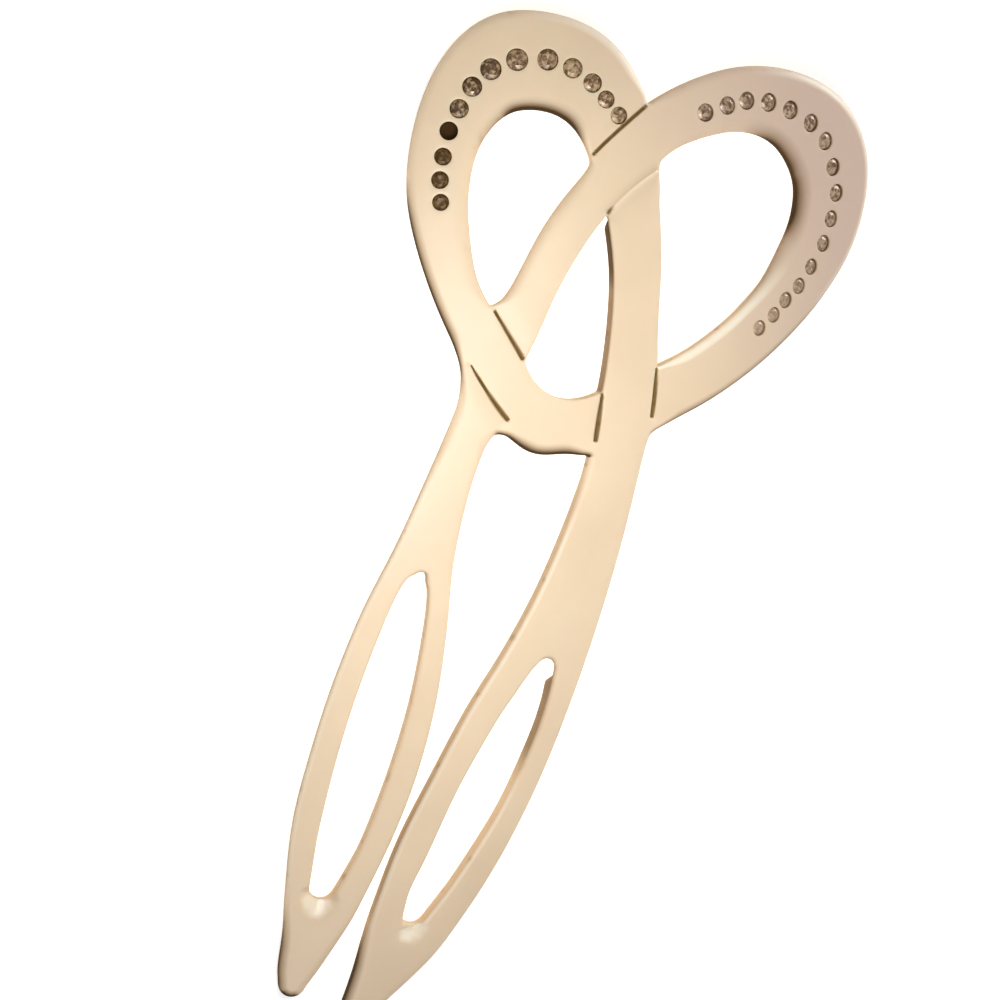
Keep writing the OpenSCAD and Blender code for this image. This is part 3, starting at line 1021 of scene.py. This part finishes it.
# %% [markdown]
# ## Cream plastic
#
# Old cream plastic is a little see-through, softly mottled, and browned in every cut that the polishing
# wheel could not reach. Toward the tips and on the right loop it is painted darker and pinker as shade
# where the light falls off. The cut walls and the edges that face away from the light get brown painted
# shade, and edges that face the light get painted highlights, as do the scoops. Light that enters and
# leaves nearby is the shader's subsurface part. The brown, the painted edge shade and the painted
# highlights come from the points' own values, because they follow the shape, and noise breaks them up.

# %% The body's finish
def rgb(red, green, blue):
    """A colour as a picture shows it, 0 to 255, for the shader."""
    return tuple(((c / 255 + 0.055) / 1.055) ** 2.4 if c > 10 else c / 255 / 12.92
                 for c in (red, green, blue)) + (1.0,)


cream, shader, place = new_finish("cream_plastic")
edge, grime, worn, stain, scoop = (
    place.node("ShaderNodeAttribute", {"attribute_name": name}, 2) for name in marks)
cloud, patches = noise(place, 70.0, 3.0), noise(place, 420.0, 2.0)
grain, scratch = noise(place, 900.0, 4.0, 0.6), noise(place, 3500.0, 2.0)
across, along = across_and_along(place)
# The sheet's own colour, clouded, then painted shade that makes it darker and pinker toward the tips and on
# the right loop.
colour = (cloud * 2.4 - 0.7).held().blend(rgb(231, 208, 176), rgb(238, 216, 184))
tips_shade = ((along * -1.0 - 0.03) / 0.04).held()
colour = (tips_shade * 0.35).blend(colour, rgb(222, 194, 166))
right_loop_shade = (across / 0.04 + along / 0.04 - 1.1).held()
colour = right_loop_shade.blend(colour, rgb(219, 194, 175))
# Painted highlights in the scoops, on the soft step's crest and on edges that face the light.
colour = (scoop * 0.75).blend(colour, rgb(252, 240, 216))
colour = (worn * edge * (1.0 - edge) * 3.6).held().blend(colour, rgb(255, 244, 222))
# Painted shade on the cut walls, with small nicks.
wall_shade = (edge ** 3.0 * 0.6).held()
colour = wall_shade.blend(colour, rgb(196, 164, 124))
nicks = ((patches * 9.0 - 5.6).held() * edge ** 2.0 * 0.5).held()
colour = nicks.blend(colour, rgb(150, 114, 72))
# Brown painted shade on edges that face away from the light, then the stain in the carved lines and the
# sockets, with the painted shade above the soft step.
brown_edge_shade = (edge ** 1.3 * grime * (1.15 + 0.6 * cloud)).held()
colour = brown_edge_shade.blend(colour, rgb(118, 84, 42))
colour = (brown_edge_shade ** 3.0).blend(colour, rgb(64, 43, 12))
colour = (stain * (0.8 + 0.4 * grain)).held().blend(colour, rgb(128, 98, 50))
colour = (stain - 1.0).held().blend(colour, rgb(68, 42, 0))
# Only what is neither wall, stain nor painted shade takes the polish.
sheen = (1.0 - edge ** 2.0 - stain - 1.5 * brown_edge_shade).held()
bumps = place.node("ShaderNodeBump", Strength=0.12, Distance=0.0002, Height=grain * 0.6 + scratch * 0.4)
feed(shader, place, Base_Color=colour, Roughness=(0.7 - 0.35 * sheen + 0.16 * grain).held(), Normal=bumps,
     Coat_Weight=(0.3 + 0.7 * scoop) * sheen, Coat_Roughness=0.24, IOR=1.47, Specular_IOR_Level=0.3,
     Subsurface_Weight=0.25, Subsurface_Scale=0.0012, Subsurface_Radius=(1.0, 0.6, 0.35))
mesh.materials.append(cream)
print("finish made:", cream.name)

# %% [markdown]
# ## Glass and foil
#
# A stone this small shows light and dark facets side by side, because each one sends other light out from
# the foil behind the glass. Real glass over foil could do that, but it turns grainy at this size, so each
# facet gets a painted reflection: its own light or dark tint under a clear gloss. The foils have aged: the
# left loop's lower stones are browner and darker, the right loop's lower ones paler.

# %% Stone finishes
def stone_finish(name, light, dark, share_dark, roughness, gloss, faded):
    """The facets of one kind of stone, painted light or dark by chance as reflections, under a clear gloss.
    """
    finish, shader, place = new_finish(name)
    glint = place.node("ShaderNodeAttribute", {"attribute_name": "glint"}, 2)
    patch = noise(place, 2600.0, 2.0)
    across, along = across_and_along(place)
    aged = ((-0.025 - across) / 0.004).held()
    bright = ((glint - share_dark) * 1.1 + patch * 2.2 - 0.7 - 0.3 * aged).held()
    dark = (aged * 0.8).blend(dark, rgb(74, 52, 22))
    lower_down = ((0.057 - along) / 0.02).held() * faded
    colour = lower_down.blend(bright.blend(dark, light), light)
    feed(shader, place, Base_Color=colour, Roughness=(roughness + 0.1 * patch).held(),
         Metallic=0.15, IOR=1.5, Specular_IOR_Level=0.9 * gloss, Coat_Weight=gloss, Coat_Roughness=0.14)
    return finish


# Light and dark tint, share of dark facets, roughness, gloss, and how faded the lower ones are.
finishes = {
    "clear_stone": stone_finish("clear_stone", rgb(206, 176, 138), rgb(110, 82, 54), 0.45, 0.3, 0.55, 0.0),
    "rosy_stone": stone_finish("rosy_stone", rgb(208, 178, 150), rgb(118, 92, 70), 0.45, 0.3, 0.55, 0.6),
    "dull_stone": stone_finish("dull_stone", rgb(122, 96, 58), rgb(78, 56, 26), 0.35, 0.45, 0.2, 0.0),
}
slots = {entry["node"]: entry["material_slot"] for entry in frame["record"]["subparts"]}
for node, piece in stone_pieces:
    piece.data.materials.append(finishes[slots[node]])
print("stone finishes:", list(finishes))

# %% [markdown]
# ## Camera
#
# The camera looks at the top of the gap between the prongs from 26 cm away, swung to the pick's
# left and rolled, so that the pick runs from the lower left of the picture to the upper right.

# %% Camera
AIM = (-6.0, 0.0)
CAMERA_AWAY = 260.0
FILM_WIDTH = 36.0
# How far away a picture of that many dots across would have to be held, in dots.
PICTURE_SIZE, PICTURE_AWAY = 1000.0, 1925.9
SWING, NOD, ROLL = math.radians(17.8), math.radians(3.0), math.radians(-20.5)

look = Matrix.Rotation(ROLL, 3, "Z") @ Matrix.Rotation(NOD, 3, "X") @ Matrix.Rotation(SWING, 3, "Y")
aim_frame = on_face(*AIM)
turned = aim_frame.to_3x3() @ look.inverted()
camera_data = bpy.data.cameras.new("camera")
camera_data.sensor_width = FILM_WIDTH
camera_data.lens = FILM_WIDTH * PICTURE_AWAY / PICTURE_SIZE
camera_data.clip_start = 0.01
camera = shown("camera", camera_data)
aim_at = Vector(laid_down(bent(*AIM, 0.0)))
stand = Matrix.Translation(aim_at + turned @ Vector((0, 0, CAMERA_AWAY * MM)))
camera.matrix_world = stand @ turned.to_4x4()
bpy.context.scene.camera = camera
print("camera at", [round(v, 3) for v in camera.matrix_world.translation])

# %% [markdown]
# ## Floor and lights
#
# A small soft lamp hangs low over the crossing, so that part is brightest. A wide soft light
# stands low at the upper right and gives the loops their bright rims, and another one fills from
# the foot. The floor is a pale light table: it glows a little, as a photographer's does, which
# keeps the background white and the shadows weak.

# %% Floor, lights and the way colours are shown
LIGHT_TARGET = (-8.0, 5.0, 5.0)
TABLE_HALF = 2.0
TABLE_GLOW = 0.55
ROOM_LIGHT = 0.18


def soft_light(name, place_mm, size_mm, power):
    """A square light that faces the pick. Its place and size are in mm."""
    lamp = bpy.data.lights.new(name, "AREA")
    lamp.shape, lamp.energy, lamp.size = "SQUARE", power, size_mm * MM
    holder = shown(name, lamp)
    holder.visible_camera = False
    spot, target = Vector(place_mm) * MM, Vector(LIGHT_TARGET) * MM
    facing = (spot - target).to_track_quat("Z", "Y").to_matrix().to_4x4()
    holder.matrix_world = Matrix.Translation(spot) @ facing


soft_light("low_lamp", (-31, 8, 90), 60, 0.0765)
soft_light("rim_light", (230, 300, 80), 160, 0.72)
soft_light("foot_fill", (40, -300, 400), 200, 0.55)

table_mesh = bpy.data.meshes.new("light_table")
corners = [(-1, -1), (1, -1), (1, 1), (-1, 1)]
table_mesh.from_pydata([(x * TABLE_HALF, y * TABLE_HALF, 0) for x, y in corners], [], [(0, 1, 2, 3)])
light_table = shown("light_table", table_mesh)
paper, shader, place = new_finish("light_table")
feed(shader, place, Base_Color=rgb(248, 247, 245), Roughness=0.9,
     Emission_Color=(1.0, 1.0, 1.0, 1.0), Emission_Strength=TABLE_GLOW)
table_mesh.materials.append(paper)

world = bpy.data.worlds.new("studio")
world.use_nodes = True
sky = world.node_tree.nodes["Background"]
sky.inputs["Color"].default_value = (1.0, 1.0, 1.0, 1.0)
sky.inputs["Strength"].default_value = ROOM_LIGHT
bpy.context.scene.world = world
bpy.context.scene.view_settings.view_transform = "Standard"
